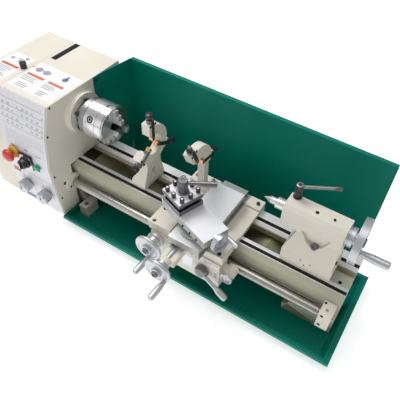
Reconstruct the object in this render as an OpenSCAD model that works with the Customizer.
// Bench-top metal lathe: bed, geared headstock, carriage, tailstock, steady and follow rests.
// Local layout is drawn with the spindle axis on y = 0, z = 0 and the headstock's right face on x = 0.
// Every module is then moved so that z = 0 is the bench and x = 0 is the middle of the chip tray.

/* [Main sizes] */
// Height of the spindle axis above the bench
axis_h = 294; // [250:1:340]
// Centre height: spindle axis above the bed ways
centre_h = 125; // [100:1:160]
// Twice the distance from the spindle axis to the back face of the bed
bed_w = 138; // [110:1:180]
// Position of the bed's right end, from the headstock's right face
bed_end = 738; // [600:1:900]
// Where the middle of the chip tray lies, from the headstock's right face
mid_x = 261; // [150:1:360]

/* [Chip tray and splash guard] */
// Left edge of the chip tray, against the headstock
tray_x0 = 0.5; // [0.5:0.5:10]
// Right edge of the chip tray
tray_x1 = 767; // [700:1:900]
// Front edge of the chip tray
tray_y0 = -133; // [-200:1:-130]
// Back edge of the chip tray
tray_y1 = 138; // [100:1:200]
// Height of the tray's lip
tray_h = 30; // [15:1:50]
// Thickness of the sheet steel
sheet_t = 2; // [1:0.1:3]
// Depth position of the splash guard's upright panel
guard_y = 174; // [140:1:240]
// Right edge of the splash guard
guard_x1 = 722; // [600:1:800]
// Height of the guard's top above the spindle axis
guard_top = 66; // [30:1:120]
// Height of the guard's bend below the spindle axis
guard_bend = 122; // [80:1:180]

/* [Headstock] */
// Length of the headstock casting
head_l = 148; // [110:1:200]
// Length of the gear cover at the left end
cover_l = 89; // [70:1:130]
// Top of the headstock above the spindle axis
head_top = 66; // [50:1:90]
// Back of the headstock behind the spindle axis
head_back = 148; // [100:1:180]
// Radius of the hole through the spindle
spindle_bore_r = 13; // [8:0.5:20]
// Radius of the three-jaw chuck
chuck_r = 49; // [40:0.5:65]

/* [Leadscrew] */
// Radius of the leadscrew
lead_r = 11; // [8:0.5:14]
// How far the leadscrew lies in front of the spindle axis
lead_y = 75; // [60:1:90]

/* [Carriage] */
// Left edge of the saddle
saddle_x0 = 285; // [240:1:320]
// Right edge of the saddle
saddle_x1 = 480; // [440:1:520]
// Angle of the compound slide, seen from above
comp_a = -20; // [-60:1:60]
// Side of the square tool post
post_w = 62; // [50:1:80]

/* [Tailstock] */
// Left end of the tailstock body
tail_x0 = 556; // [520:1:600]
// Length of the tailstock body
tail_l = 136; // [110:1:160]
// Radius of the quill
quill_r = 12.5; // [10:0.5:16]
// Radius of the tailstock handwheel
tail_wheel_r = 50; // [35:1:65]

/* [Part to draw] */

/* [Hidden] */
way_z = -centre_h;
floor_z = -axis_h + sheet_t;
hy = bed_w / 2;
gear_m = 1.5;
n_spin = 40;
n_idle = 80;
n_lead = 58;
lead_d = gear_m * (n_spin + 2 * n_idle + n_lead) / 2;
lead_z = -sqrt(lead_d * lead_d - lead_y * lead_y);
dir_y = -lead_y / lead_d;
dir_z = lead_z / lead_d;
idle_d = gear_m * (n_spin + n_idle) / 2;
idle_y = idle_d * dir_y;
idle_z = idle_d * dir_z;
mesh_a = atan2(lead_z, -lead_y);
motor_y = 94;
motor_z = -77;
post_x = 352.5;
post_y = -82;
swiv_x = 399;
swiv_y = -99;
saddle_top = -103;
slide_top = -77;
comp_top = -36;
cross_x = 380;
cross_z = -112;
hand_x = 310;
hand_z = -148;
gx = -head_l - 12;
st_x = 206;
fr_x = 330;
lug_x = 27;
lug_y = 70;
body_prof = [[head_back, head_top], [-96, head_top], [-120, -9], [-133, -94], [-130, -191],
             [-122.5, -271], [-108, -271], [-108, -axis_h], [head_back, -axis_h]];
in_prof = [[head_back - 7, head_top - 8], [-88, head_top - 8], [-111, -11], [-124, -94],
           [-121, -191], [-114, -263], [head_back - 7, -263]];

module at() { translate([-mid_x, 0, axis_h]) children(); }
module box(x0, x1, y0, y1, z0, z1) { translate([x0, y0, z0]) cube([x1 - x0, y1 - y0, z1 - z0]); }
module rx(x0, x1, y, z, r, n = 48) {
  translate([x0, y, z]) rotate([0, 90, 0]) cylinder(r = r, h = x1 - x0, $fn = n);
}
module ry(y0, y1, x, z, r, n = 48) {
  translate([x, y1, z]) rotate([90, 0, 0]) cylinder(r = r, h = y1 - y0, $fn = n);
}
module rz(z0, z1, x, y, r, n = 48) { translate([x, y, z0]) cylinder(r = r, h = z1 - z0, $fn = n); }
// Extrudes a (y, z) outline along x
module along_x(x0, x1) { translate([x0, 0, 0]) rotate([90, 0, 90]) linear_extrude(x1 - x0) children(); }
// Part of a ring about the spindle axis, kept between two angles
module arc_body(x0, x1, ro, ri, a0, a1) difference() {
  rx(x0, x1, 0, 0, ro, 64);
  rx(x0 - 1, x1 + 1, 0, 0, ri, 64);
  along_x(x0 - 1, x1 + 1) polygon(concat([[0, 0]],
    [for (i = [0 : 6]) let (a = a1 + (a0 + 360 - a1) * i / 6) [120 * cos(a), 120 * sin(a)]]));
}
// Puts children in the turned frame of the compound slide, centred on the tool post
module on_comp() { translate([post_x, post_y, 0]) rotate([0, 0, comp_a]) children(); }
// A toothed outline with slim straight-sided teeth that leave backlash
module gear2d(n, m, turn = 0) {
  rp = n * m / 2;
  polygon([for (i = [0 : n - 1]) for (k = [[-0.30, -1.2], [-0.11, 0.8], [0.11, 0.8], [0.30, -1.2]])
    let (a = turn + (i + k[0]) * 360 / n, r = rp + k[1] * m) [r * cos(a), r * sin(a)]]);
}
module plate_gear(n, x0, x1, y, z, bore, turn) {
  translate([x0, y, z]) rotate([90, 0, 90]) linear_extrude(x1 - x0) difference() {
    gear2d(n, gear_m, turn);
    circle(r = bore, $fn = 32);
  }
}
// A spoked handwheel about the y axis, rim centre at y
module wheel_y(x, y, z, r, hub, bore) {
  translate([x, y, z]) rotate([90, 0, 0]) {
    difference() {
      union() {
        rotate_extrude($fn = 64) translate([r - 6, 0]) circle(r = 5.6, $fn = 20);
        cylinder(r = hub, h = 22, center = true, $fn = 40);
        for (i = [0 : 2]) rotate([0, 0, 120 * i + 90]) translate([0, -4, -3]) cube([r - 7, 8, 6]);
      }
      translate([0, 0, -20]) cylinder(r = bore, h = 40, $fn = 32);
    }
  }
}
// A turned handle along -y starting at y
module grip_y(x, y, z, l, r) {
  translate([x, y, z]) rotate([90, 0, 0]) rotate_extrude($fn = 32)
    polygon([[0, 0], [r * 0.72, 0], [r * 0.76, l * 0.12],
      [r, l * 0.5], [r, l * 0.95], [r * 0.86, l], [0, l]]);
}

// ---------------------------------------------------------------- tray and guard
module chip_tray() at() color([0.0, 0.45, 0.38]) difference() {
  union() {
    hull() {
      box(tray_x0, tray_x1 - 24, tray_y0 + 18, tray_y1 - 18, -axis_h, -axis_h + 0.1);
      box(tray_x0, tray_x1 - 11, tray_y0 + 9, tray_y1 - 9, -axis_h + tray_h - 0.1, -axis_h + tray_h);
    }
    box(tray_x0, tray_x1, tray_y0, tray_y1, -axis_h + tray_h - sheet_t, -axis_h + tray_h);
    difference() {
      box(tray_x0, tray_x1, tray_y0, tray_y1, -axis_h + tray_h - 9, -axis_h + tray_h);
      box(tray_x0 - 1, tray_x1 - sheet_t, tray_y0 + sheet_t, tray_y1 - sheet_t,
        -axis_h + tray_h - 10, -axis_h + tray_h - sheet_t);
    }
  }
  hull() {
    box(tray_x0 + sheet_t, tray_x1 - 26, tray_y0 + 20, tray_y1 - 20, floor_z, floor_z + 0.1);
    box(tray_x0 + sheet_t, tray_x1 - 13, tray_y0 + 11, tray_y1 - 11,
      -axis_h + tray_h + 0.9, -axis_h + tray_h + 1);
  }
  box(tray_x0 - 1, tray_x0 + 6, -60, 60, floor_z, -axis_h + tray_h + 1);
  for (s = [-1, 1]) {
    rz(-axis_h - 1, floor_z + 1, lug_x, lug_y * s, 5.5, 32);
    rz(-axis_h - 1, floor_z + 1, 690, 24 * s, 5.5, 32);
  }
}
module splash_guard() at() color([0.0, 0.42, 0.36]) {
  difference() {
    translate([0, 0, -guard_bend]) linear_extrude(guard_top + guard_bend)
      polygon([[2.05, 51], [2.05, 66], [17.6, guard_y - 2], [guard_x1, guard_y - 2], [guard_x1, guard_y],
        [16, guard_y], [0.05, 66], [0.05, 51]]);
    for (z = [guard_top - 10, guard_top - 60]) rx(-2, 12, 58, z, 2.6, 24);
  }
  along_x(17.7, guard_x1) polygon([[guard_y - 2, -guard_bend], [guard_y, -guard_bend],
    [tray_y1 + 2.4, floor_z + 21],
    [tray_y1 + 2.4, floor_z + 6], [tray_y1 + 0.4, floor_z + 6], [tray_y1 + 0.4, floor_z + 21.4]]);
  box(17, guard_x1, guard_y, guard_y + 9, guard_top - 2, guard_top);
}

// ---------------------------------------------------------------- bed
module rail_outline(s) {
  polygon(s < 0
    ? [[-59, -137], [-48, way_z], [-46, way_z], [-40, -131], [-39, -137], [-36, -137], [-36, way_z],
       [-27, way_z], [-27, -148], [-47, -154], [-47, -224], [-59, -224]]
    : [[hy, way_z], [46, way_z], [46, -137], [42, -137], [41, -131], [36, way_z], [34, way_z], [27, -131],
       [26, -148], [45, -154], [45, -224], [57, -224], [57, -156], [hy, -150]]);
}
module bed() at() color([0.85, 0.83, 0.74]) difference() {
  union() {
    for (s = [-1, 1]) along_x(-120, bed_end) rail_outline(s);
    // Slanted ribs between the rails, one folded band
    translate([0, 45.5, 0]) rotate([90, 0, 0]) linear_extrude(93.5) polygon(concat(
      [for (i = [0 : 7]) [14 + i * 86, i % 2 == 0 ? -154 : -210]],
      [for (i = [7 : -1 : 0]) [14 + i * 86, i % 2 == 0 ? -162 : -218]]));
    box(-120, -111, -48, 45.5, -222, -156);
    box(690, bed_end - 0.5, -48, 46, -156, -150);
    difference() {
      for (s = [-1, 1]) {
        along_x(612, bed_end) polygon([[s * 41, -223], [s * 57, -223], [s * 43, floor_z], [s * 30, floor_z]]);
        box(-120, 14, s < 0 ? -57 : 41, s < 0 ? -41 : 57, floor_z, -223);
      }
      ry(-60, 60, 604, -233, 26, 40);
      ry(-60, 60, 20, -233, 26, 40);
    }
    along_x(bed_end - 12, bed_end) polygon([[-48, -150.4], [-48, -223], [-36, floor_z], [36, floor_z],
      [45.5, -223], [45.5, -150.4]]);
    box(612, bed_end - 11, -38, 38, floor_z, floor_z + 12);
    box(-120, 14, -42, 42, floor_z, floor_z + 12);
    for (s = [-1, 1]) box(13, 38, s < 0 ? -84 : 41, s < 0 ? -41 : 84, floor_z, floor_z + 36);
  }
  for (s = [-1, 1]) {
    rz(floor_z - 1, floor_z + 40, lug_x, lug_y * s, 5.5, 32);
    rz(floor_z - 1, floor_z + 30, 690, 24 * s, 5.5, 32);
  }
  rz(-157, -149, 714.5, -1.7, 4.2, 32);
}
module rack() at() color([0.55, 0.55, 0.55]) translate([0, -59.1, 0]) rotate([90, 0, 0]) linear_extrude(4.2)
  polygon(concat([[60, -172]], [for (i = [0 : 98])
    for (k = [[0, -182], [1.4, -185.6], [3.1, -185.6], [4.5, -182]])
    [61 + i * 6.3 + k[0], k[1]]], [[690, -172]]));

// ---------------------------------------------------------------- headstock
module headstock() at() color([0.86, 0.84, 0.75]) difference() {
  union() {
    difference() {
      along_x(-head_l, 0) polygon(body_prof);
      along_x(-head_l + 10, -14) polygon(in_prof);
    }
    rx(-80, -10, 0, 0, 48);
    rx(-head_l + 5, -110, 0, 0, 44);
    translate([-96, 0, 0]) box(-4, 4, -85, 45, -60, head_top - 6);
    // Hinge arms and pins of the gear cover
    for (z = [-40, -220]) {
      box(-head_l, -head_l + 12, head_back - 0.1, head_back + 12, z - 8, z - 0.4);
      box(-head_l - 8, -head_l + 0.1, head_back + 1.2, head_back + 12, z - 8, z - 0.4);
      rz(z - 8, z - 0.4, -head_l - 8, head_back + 7, 5.5, 32);
      rz(z - 1, z + 30, -head_l - 8, head_back + 7, 3, 32);
    }
  }
  rx(-90, -28, 0, 0, 40);
  rx(-101, -90, 0, 0, 40);
  rx(-head_l - 1, 1, 0, 0, 30.06);
  box(-122, 1, -hy - 1, hy + 1, floor_z - 0.1, way_z);
  box(-139.5, -122.5, 56, 144, head_top - 3, head_top + 1);
  box(-137, -125, 60, 138, head_top - 9, head_top);
  rx(-8, 1, -100, -168, 5, 32);
  rx(-head_l - 1, -head_l + 12, motor_y, motor_z, 14, 40);
  rx(-head_l - 1, 1, -lead_y, lead_z, 9.06, 40);
  for (z = [guard_top - 10, guard_top - 60]) rx(-8, 1, 58, z, 2.6, 24);
  for (p = [[-112, -89, 8], [-73, -101, 6], [-38, -104, 7], [-99, -193, 6.06], [-33, -196, 6.06]])
    ry(-140, -110, p[0], p[1], p[2], 32);
}
// Sheet panel that covers the front of the headstock
module front_panel() at() color([0.93, 0.93, 0.9]) difference() {
  along_x(-head_l + 1, -3) polygon([[-96.3, head_top - 0.4], [-98.4, head_top - 0.4],
    [-122.4, -9], [-135.4, -94], [-132.4, -191.3], [-124.9, -270.5], [-122.8, -270.5],
    [-130.3, -191], [-133.3, -94], [-120.3, -9]]);
  for (p = [[-112, -89, 8], [-73, -101, 6], [-38, -104, 7], [-99, -193, 8], [-33, -196, 8]])
    ry(-140, -110, p[0], p[1], p[2], 32);
}
module control_plate() at() color([0.08, 0.08, 0.08]) difference() {
  box(-94, -52, -138.6, -135.6, -122, -80);
  ry(-141, -130, -73, -101, 6, 32);
}
module bearing_cap() at() color([0.86, 0.84, 0.75]) rx_ring(0.05, 13, 0, 0, 50, 32);
module rx_ring(x0, x1, y, z, ro, ri, n = 64) {
  difference() { rx(x0, x1, y, z, ro, n); rx(x0 - 1, x1 + 1, y, z, ri, n); }
}
module top_vent() at() color([0.06, 0.06, 0.06]) difference() {
  box(-139.4, -122.6, 56.1, 143.9, head_top - 2.9, head_top - 0.4);
  for (y = [59 : 5 : 140]) box(-137.5, -124.5, y, y + 2.5, head_top - 1.8, head_top + 1);
}
module motor() at() color([0.2, 0.22, 0.24]) {
  difference() {
    rx(-130, -16, motor_y, motor_z, 46, 64);
    rx(-131, -100, motor_y, motor_z, 9.5, 40);
    rx(-110, -30, motor_y, motor_z, 9.5, 40);
  }
  box(-112, -36, motor_y + 30, head_back - 7.05, motor_z - 30, motor_z + 30);
}
module belt_outline(g) {
  for (p = [[0, 0, 44], [motor_y, motor_z, 25]]) translate([p[0], p[1]]) circle(r = p[2] + g, $fn = 64);
}
module drive_belt() at() color([0.05, 0.05, 0.05]) along_x(gx - 42, gx - 26) difference() {
  hull() belt_outline(4.4);
  hull() belt_outline(0.6);
}
module banjo() at() color([0.3, 0.3, 0.3]) difference() {
  union() {
    translate([0, 0, 0]) along_x(-head_l - 7, -head_l) hull() {
      translate([-lead_y, lead_z]) circle(r = 20, $fn = 32);
      translate([idle_y, idle_z]) circle(r = 14, $fn = 32);
    }
    rx(-head_l - 22, -head_l - 1, idle_y, idle_z, 8, 32);
  }
  rx(-head_l - 8, -head_l + 1, -lead_y, lead_z, 9.06, 40);
}
module leadscrew_flange() at() color([0.86, 0.84, 0.75]) difference() {
  rx(0.05, 8, -lead_y, lead_z, 25);
  box(-1, 9, -59.1, 0, -230, -130);
  rx(-1, 9, -lead_y, lead_z, 9.06, 40);
  for (a = [20, 200]) rx(4, 9, -lead_y + 16 * cos(a), lead_z + 16 * sin(a), 3.4, 24);
}
module leadscrew_bracket() at() color([0.88, 0.86, 0.76]) difference() {
  along_x(704, 732) polygon([[-94, -206], [-59.1, -206], [-59.1, -150.3], [-94, -150.3]]);
  rx(703, 733, -lead_y, lead_z, 9.06, 40);
  for (z = [-162, -196]) ry(-95, -88, 712, z, 4, 24);
}

// ---------------------------------------------------------------- controls
module estop_base() at() color([0.9, 0.6, 0.1]) difference() {
  union() { ry(-144, -135.5, -112, -89, 14, 40); ry(-136, -112, -112, -89, 7.5, 32); }
  ry(-145, -100, -112, -89, 4.06, 32);
}
module estop_button() at() color([0.8, 0.05, 0.05]) {
  ry(-150, -108, -112, -89, 4, 32);
  translate([-112, -149.5, -89]) rotate([90, 0, 0]) rotate_extrude($fn = 40)
    polygon([[0, 0], [14, 0], [17, 4], [16, 10], [11, 14], [0, 16]]);
}
module start_button() at() color([0.1, 0.55, 0.2]) {
  ry(-139, -118, -38, -104, 6.5, 32);
  box(-47, -29, -142.5, -138.5, -111, -97);
}
module mode_switch() at() color([0.08, 0.08, 0.08]) {
  ry(-156, -139, -73, -101, 11, 40);
  ry(-140, -118, -73, -101, 5, 32);
  box(-75.5, -70.5, -161, -155.5, -111, -91);
}
module gear_knob(x, z) {
  ry(-137, -114, x, z, 6, 32);
  ry(-158, -135.5, x, z, 15, 48);
  ry(-159.5, -158, x, z, 12.5, 40);
}
module gear_knob_left() at() color([0.7, 0.71, 0.72]) gear_knob(-99, -193);
module gear_knob_right() at() color([0.7, 0.71, 0.72]) gear_knob(-33, -196);

// ---------------------------------------------------------------- gear cover
module gear_cover() at() color([0.87, 0.85, 0.77]) {
  difference() {
    along_x(-head_l - cover_l, -head_l - 0.6) polygon([for (p = body_prof) [p[0], max(p[1], -axis_h + 3)]]);
    along_x(-head_l - cover_l + 4, -head_l + 1)
      polygon([for (p = body_prof) [p[0] + (p[0] > 0 ? -4 : 5), p[1] + (p[1] > 0 ? -5 : 9)]]);
    rz(head_top - 12, head_top + 1, -head_l - 9.5, -13, 3.06, 24);
    rx(-head_l - cover_l - 1, -head_l - cover_l + 6, 0, 0, 15, 48);
  }
  for (z = [-40, -220]) difference() {
    union() {
      rz(z, z + 28, -head_l - 8, head_back + 7, 6, 32);
      box(-head_l - 14, -head_l - 4, head_back - 1, head_back + 6, z, z + 28);
    }
    rz(z - 1, z + 29, -head_l - 8, head_back + 7, 3.05, 32);
  }
}
module cover_knob() at() color([0.05, 0.05, 0.05]) {
  rz(head_top - 9, head_top + 3, -head_l - 9.5, -13, 3, 24);
  rz(head_top + 0.05, head_top + 14, -head_l - 9.5, -13, 8, 32);
}

// ---------------------------------------------------------------- spindle and chuck
module spindle() at() color([0.75, 0.75, 0.76]) difference() {
  union() {
    rx(-206, 24, 0, 0, 30 - 8, 64);
    rx(-head_l + 4, 24, 0, 0, 30, 64);
    rx(20, 30, 0, 0, 34, 64);
  }
  rx(-207, 31, 0, 0, spindle_bore_r, 64);
}
module chuck_backplate() at() color([0.5, 0.5, 0.5]) rx_ring(30, 46, 0, 0, 45, spindle_bore_r + 0.5);
module chuck_body() at() color([0.72, 0.73, 0.74]) difference() {
  union() { rx(46, 102, 0, 0, chuck_r - 1.5, 64); rx(48, 99, 0, 0, chuck_r, 64); }
  rx(45, 103, 0, 0, 14, 64);
  for (i = [0 : 2]) rotate([120 * i + 205, 0, 0]) {
    box(84, 103, 4, 60, -6.06, 6.06);
    box(90, 94.1, 4, 60, -8.56, 8.56);
    translate([66, 0, 0]) rotate([60, 0, 0]) ry(34, 60, 0, 0, 4.5, 4);
  }
}
module chuck_jaw(i) {
  rotate([120 * i + 205, 0, 0]) {
    box(84.05, 104, 17, 47, -6, 6);
    box(90.05, 94, 17, 47, -8.5, 8.5);
    difference() {
      box(102.05, 126, 13, 44, -6.5, 6.5);
      box(118, 127, 24, 45, -7, 7);
      box(110, 127, 34, 45, -7, 7);
    }
  }
}
module chuck_jaw_1() at() color([0.6, 0.61, 0.62]) chuck_jaw(0);
module chuck_jaw_2() at() color([0.6, 0.61, 0.62]) chuck_jaw(1);
module chuck_jaw_3() at() color([0.6, 0.61, 0.62]) chuck_jaw(2);
module spindle_drive() at() color([0.5, 0.5, 0.5]) {
  plate_gear(n_spin, gx - 10, gx, 0, 0, 22, mesh_a);
  difference() {
    union() {
      rx_ring(gx - 45, gx - 42.3, 0, 0, 49, 22);
      rx_ring(gx - 42.4, gx - 25.6, 0, 0, 44, 22);
      rx_ring(gx - 25.7, gx - 23, 0, 0, 49, 22);
      rx_ring(gx - 23.1, gx - 9.9, 0, 0, 27, 22, 48);
    }
  }
}
module motor_pulley() at() color([0.5, 0.5, 0.5]) {
  rx(-100 - 4, -98, motor_y, motor_z, 9, 40);
  rx(gx - 45, -100, motor_y, motor_z, 9, 40);
  rx_ring(gx - 45, gx - 42.3, motor_y, motor_z, 30, 8.9);
  rx_ring(gx - 42.4, gx - 25.6, motor_y, motor_z, 25, 8.9);
  rx_ring(gx - 25.7, gx - 23, motor_y, motor_z, 30, 8.9);
}
module idler_gear() at() color([0.5, 0.5, 0.5])
  plate_gear(n_idle, gx - 10, gx, idle_y, idle_z, 8.06, mesh_a + 180 / n_idle);
module leadscrew() at() color([0.7, 0.7, 0.7]) {
  rx(gx - 14, 10, -lead_y, lead_z, 9, 40);
  rx(10, 700, -lead_y, lead_z, lead_r, 48);
  rx(700, 736, -lead_y, lead_z, 9, 40);
}
module leadscrew_gear() at() color([0.5, 0.5, 0.5])
  plate_gear(n_lead, gx - 10, gx, -lead_y, lead_z, 9.02, mesh_a + 180);

// ---------------------------------------------------------------- carriage
module saddle() at() color([0.87, 0.85, 0.77]) difference() {
  union() {
    box(saddle_x0, saddle_x1, -72, 80, -124.7, -113);
    box(saddle_x0, saddle_x1, -120, -61, -130, -113);
    box(saddle_x0, 345, -122, -48, -114, saddle_top);
    box(saddle_x0, 356, 48, 80, -114, saddle_top - 4);
    box(355, 443, 48, 80, -114, -108.2);
    box(442, saddle_x1, 48, 80, -114, saddle_top - 4);
    box(345, 440, -122, 80, -114, -108.1);
    box(439, saddle_x1, -122, -48, -114, saddle_top);
    box(saddle_x0, saddle_x1, 70.2, 80, -146, -124);
    translate([0, 80, 0]) rotate([90, 0, 0]) linear_extrude(202)
      polygon([[372, -108.1], [426, -108.1], [432, -97], [366, -97]]);
  }
  for (p = [[297, -114], [297, -72], [468, -114]]) rz(-125, -100, p[0], p[1], 4.5, 32);
}
module saddle_bolts() at() color([0.05, 0.05, 0.05])
  for (p = [[297, -72], [468, -114], [297, 64], [468, 64]])
    rz(p[1] > 0 ? saddle_top - 3.9 : -107, p[1] > 0 ? -102 : -101, p[0], p[1], 4.4, 24);
module apron() at() color([0.88, 0.86, 0.78]) difference() {
  box(saddle_x0 + 8, 477, -124, -88, -214, -130.1);
  box(saddle_x0 + 16, 469, -116, -87, -206, -140);
  ry(-125, -84, hand_x, hand_z, 9.06, 40);
  ry(-125, -84, 436, -173, 7.06, 40);
  ry(-125, -114, 404, -138, 4, 32);
}
module screw_housing() at() color([0.88, 0.86, 0.78]) difference() {
  union() { box(364, 398, -184, -122.05, -127, -108.5); ry(-196, -183, cross_x, cross_z, 14, 40); }
  ry(-201, -120, cross_x, cross_z, 7.06, 40);
}
module dial_housing() at() color([0.86, 0.84, 0.75]) difference() {
  union() { box(477.05, 490, -112, -96, -190, -150); ry(-120, -92, 496, -160, 14, 40); }
  ry(-121, -91, 496, -160, 4.06, 32);
}
module thread_dial() at() color([0.85, 0.86, 0.88]) {
  ry(-127, -120.3, 496, -160, 15, 40);
  ry(-121, -92, 496, -160, 4, 32);
}
// A sliding finger with its tip, in the slot of a rest whose middle plane is x0
module rest_finger(x0, a, tip, out, r_screw, l_screw) translate([x0, 0, 0]) rotate([a, 0, 0]) {
  box(1, 11, tip, out + 4, -5, 5);
  ry(out, out + 5, 2, 0, 8, 32);
  ry(out + 4, out + 5 + l_screw, 2, 0, r_screw, 32);
}
module rest_slot(x0, a) translate([x0, 0, 0]) rotate([a, 0, 0]) box(0.94, 30, 4, 90, -5.06, 5.06);
module follow_rest() at() color([0.87, 0.85, 0.76]) difference() {
  union() {
    arc_body(fr_x - 10, fr_x + 10, 50, 22, -14, 122);
    translate([fr_x, 0, 0]) rotate([114, 0, 0]) box(-10.5, 10.5, 24, 57, -12, 12);
    translate([fr_x, 0, 0]) rotate([-6, 0, 0]) box(-10.5, 10.5, 24, 55, -11, 11);
    along_x(fr_x - 9, fr_x + 9) polygon([[27, -8], [42, -8], [42, -94], [23, -94], [24, -20]]);
    box(fr_x - 18, fr_x + 22, 20, 66, saddle_top - 3.95, -92);
  }
  rest_slot(fr_x, 114);
  rest_slot(fr_x, -6);
}
module follow_finger_top() at() color([0.4, 0.4, 0.42]) rest_finger(fr_x, 114, 14, 61, 5, 6);
module follow_finger_back() at() color([0.4, 0.4, 0.42]) rest_finger(fr_x, -6, 14, 59, 5, 13);
module carriage_wheel() at() color([0.75, 0.76, 0.77]) {
  ry(-168, -100, hand_x, hand_z, 9, 40);
  wheel_y(hand_x, -158, hand_z, 35, 13, 8.9);
  grip_y(hand_x + 2, -159, hand_z - 29, 56, 6.6);
}
module half_nut_lever() at() color([0.7, 0.71, 0.72]) {
  ry(-128, -100, 436, -173, 7, 32);
  translate([436, -128, -173]) rotate([90, 0, 0]) rotate_extrude($fn = 40)
    polygon([[0, 0], [17, 0], [17, 5], [14, 10], [8, 13], [0, 14]]);
  translate([436, -134, -173]) rotate([0, 115, -8]) rotate_extrude($fn = 32)
    polygon([[0, 0], [5, 0], [5, 46], [8, 58], [8, 76], [6, 82], [0, 84]]);
}
module cross_slide() at() color([0.8, 0.81, 0.82]) difference() {
  union() {
    box(360, 438, -150, 47, -107.8, slide_top);
    box(366, 432, 47, 56, -96, -82);
  }
  translate([0, 57, 0]) rotate([90, 0, 0]) linear_extrude(210)
    polygon([[371.7, -108.3], [426.3, -108.3], [432.5, -96.7], [365.5, -96.7]]);
}
module cross_wheel() at() color([0.76, 0.77, 0.78]) {
  ry(-222, -130, cross_x, cross_z, 7, 32);
  ry(-207, -196.4, cross_x, cross_z, 15, 40);
  wheel_y(cross_x, -215, cross_z, 32, 12, 6.9);
  grip_y(cross_x + 20, -217, cross_z - 17, 54, 6.4);
}
module swivel_base() at() color([0.72, 0.73, 0.74]) {
  rz(slide_top + 0.05, -66, swiv_x, swiv_y, 37, 64);
  on_comp() box(-26, 92, -28, 28, -67, -56);
  on_comp() translate([-26, 0, 0]) rotate([90, 0, 90]) linear_extrude(118)
    polygon([[-16, -56.1], [16, -56.1], [20, -48], [-20, -48]]);
}
module compound_slide() at() color([0.82, 0.83, 0.84]) difference() {
  on_comp() box(-33, 117, -32.5, 32.5, -55.7, comp_top);
  on_comp() translate([-40, 0, 0]) rotate([90, 0, 90]) linear_extrude(150)
    polygon([[-16.3, -56.3], [16.3, -56.3], [20.5, -47.7], [-20.5, -47.7]]);
  on_comp() rx(108, 118, 0, -46, 5.06, 32);
}
module compound_wheel() at() color([0.76, 0.77, 0.78]) on_comp() {
  rx(117.4, 126, 0, -46, 12, 40);
  rx(112, 134, 0, -46, 5, 32);
  difference() {
    rx(126, 135, 0, -46, 22);
    rx(129, 136, 0, -46, 17);
  }
  translate([134.5, 16, -36]) rotate([0, 90, 0]) rotate_extrude($fn = 32)
    polygon([[0, 0], [4, 0], [5.5, 18], [5, 28], [0, 30]]);
}
module tool_post() at() color([0.5, 0.5, 0.52]) on_comp() difference() {
  h = post_w / 2;
  union() {
    box(-h, h, -h, h, comp_top + 0.05, comp_top + 12);
    box(-h + 11, h - 11, -h + 11, h - 11, comp_top + 11, comp_top + 23);
    box(-h, h, -h, h, comp_top + 22, comp_top + 32);
    for (a = [0 : 90 : 270]) rotate([0, 0, a]) for (x = [-20, 2]) {
      rz(comp_top + 31, comp_top + 43, x, -h + 6, 3.4, 24);
      rz(comp_top + 16, comp_top + 23, x, -h + 6, 3, 24);
    }
  }
  rz(comp_top - 1, comp_top + 60, 0, 0, 8.06, 32);
}
module post_lever() at() color([0.08, 0.08, 0.08]) on_comp() {
  rz(comp_top + 1, comp_top + 62, 0, 0, 8, 32);
  rz(comp_top + 32.4, comp_top + 64, 0, 0, 11, 40);
  rotate([0, 0, 46]) translate([9, 0, comp_top + 58]) rotate([0, 86, 0]) rotate_extrude($fn = 32)
    polygon([[0, 0], [4.2, 0], [4.2, 22], [5.6, 34], [6, 62], [0, 63]]);
}

// ---------------------------------------------------------------- tailstock
module tailstock_base() at() color([0.85, 0.83, 0.74]) difference() {
  box(576, 694, -36, 42, -124.9, -86);
  along_x(570, 700) polygon([[26.4, -126], [33.6, -124.6], [36.4, -124.6], [41.6, -126]]);
}
module tailstock_body() at() color([0.86, 0.84, 0.75]) difference() {
  union() {
    along_x(tail_x0, tail_x0 + tail_l)
      polygon([[-25, 20], [-18, 27.5], [18, 27.5], [25, 20], [25, -26], [22, -32], [-22, -32], [-25, -26]]);
    intersection() {
      along_x(tail_x0 + 18, tail_x0 + tail_l)
        polygon([[-22, -31], [22, -31], [24, -40], [38, -85.95], [-36, -85.95], [-24, -40]]);
      translate([0, 60, 0]) rotate([90, 0, 0]) linear_extrude(120) polygon([[596, -29],
        [tail_x0 + tail_l + 1, -29], [tail_x0 + tail_l + 1, -86.5], [575.8, -86.5]]);
    }
  }
  rx(tail_x0 - 1, tail_x0 + tail_l + 1, 0, 0, quill_r + 0.06, 64);
  rz(13, 30, 570, 12, 5.06, 32);
  for (s = [-1, 1]) translate([0, s > 0 ? 42 : -17.5, 0]) rotate([90, 0, 0]) linear_extrude(24.5)
    polygon([[604, -20], [670, -14], [660, -38], [641, -58], [620, -46]]);
}
module quill() at() color([0.78, 0.79, 0.8]) {
  difference() {
    rx(534, 650, 0, 0, quill_r, 64);
    rx(600, 651, 0, 0, 9, 40);
  }
  translate([504, 0, 0]) rotate([0, 90, 0]) cylinder(r1 = 0.4, r2 = 8, h = 17, $fn = 48);
  rx(520.9, 534.1, 0, 0, 8, 48);
}
module tailstock_wheel() at() color([0.77, 0.78, 0.79]) {
  rx(610, 726, 0, 0, 8, 40);
  rx(692.4, 706, 0, 0, 22);
  difference() {
    union() {
      rx_ring(711, 727, 0, 0, tail_wheel_r, tail_wheel_r - 9);
      rx(705.9, 724, 0, 0, 15, 40);
      for (i = [0 : 2]) rotate([120 * i, 0, 0]) translate([716, 0, 0]) box(-4, 4, 0, tail_wheel_r - 8, -5, 5);
    }
    rx(700, 730, 0, 0, 7.9, 32);
  }
  translate([726, 9, -tail_wheel_r + 7]) rotate([0, 0, 90]) grip_y(0, 0, 0, 64, 9.5);
}
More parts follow.
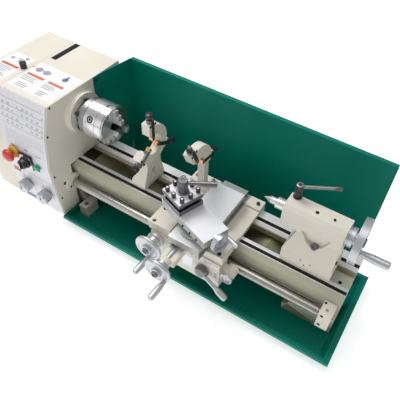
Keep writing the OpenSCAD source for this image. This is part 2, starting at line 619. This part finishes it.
module quill_lock() at() color([0.08, 0.08, 0.08]) {
  rz(17, 40, 570, 12, 5, 32);
  rz(27.8, 62, 570, 12, 8, 40);
  translate([570, 12, 57]) rotate([0, 88, 28]) cylinder(r = 3.6, h = 84, $fn = 32);
}

// ---------------------------------------------------------------- steady rest
module steady_base() at() color([0.87, 0.85, 0.76]) difference() {
  union() {
    arc_body(st_x - 10, st_x + 10, 50, 27, -158, 99);
    translate([st_x, 0, 0]) rotate([90, 0, 0]) box(-10.5, 10.5, 29, 59, -12, 13);
    translate([st_x, 0, 0]) rotate([-30, 0, 0]) box(-10.5, 10.5, 30, 59, -11, 11);
    translate([st_x, 0, 0]) rotate([210, 0, 0]) box(-10.5, 10.5, 32, 55, -13, 13);
    intersection() {
      along_x(st_x - 36, st_x + 6) polygon([[-26, -36], [28, -36], [27, -66], [33, -88],
        [40, -113], [-40, -113], [-31, -88], [-24, -66]]);
      translate([0, 60, 0]) rotate([90, 0, 0]) linear_extrude(120)
        polygon([[st_x - 8, -30], [st_x + 6, -30], [st_x + 6, -114], [st_x - 34, -114], [st_x - 14, -70]]);
    }
    along_x(st_x - 35, st_x + 3)
      polygon([[-37, -124.9], [40, -124.9], [40, -112], [35, -104], [-33, -104], [-37, -112]]);
  }
  box(st_x - 40, st_x + 10, -7, 7, -94, -78);
  rx(st_x - 40, st_x + 10, 0, -78, 7, 32);
  rx(st_x - 40, st_x + 10, 0, -94, 7, 32);
  for (a = [90, -30, 210]) rest_slot(st_x, a);
  along_x(160, 220) polygon([[26.4, -126], [33.6, -124.6], [36.4, -124.6], [41.6, -126]]);
}
module steady_finger_top() at() color([0.4, 0.4, 0.42]) rest_finger(st_x, 90, 13, 63, 4, 14);
module steady_finger_back() at() color([0.4, 0.4, 0.42]) rest_finger(st_x, -30, 13, 63, 5.5, 28);
module steady_finger_front() at() color([0.4, 0.4, 0.42]) rest_finger(st_x, 210, 13, 59, 5, 10);

chip_tray();
splash_guard();
bed();
rack();
headstock();
front_panel();
bearing_cap();
top_vent();
motor();
drive_belt();
banjo();
leadscrew_flange();
leadscrew_bracket();
control_plate();
estop_base();
estop_button();
start_button();
mode_switch();
gear_knob_left();
gear_knob_right();
gear_cover();
cover_knob();
spindle();
chuck_backplate();
chuck_body();
spindle_drive();
chuck_jaw_1();
chuck_jaw_2();
chuck_jaw_3();
motor_pulley();
idler_gear();
leadscrew();
leadscrew_gear();
saddle();
saddle_bolts();
apron();
screw_housing();
dial_housing();
thread_dial();
follow_rest();
carriage_wheel();
half_nut_lever();
cross_slide();
cross_wheel();
swivel_base();
compound_slide();
compound_wheel();
tool_post();
post_lever();
tailstock_base();
tailstock_body();
quill();
tailstock_wheel();
quill_lock();
steady_base();
follow_finger_top();
follow_finger_back();
steady_finger_top();
steady_finger_back();
steady_finger_front();
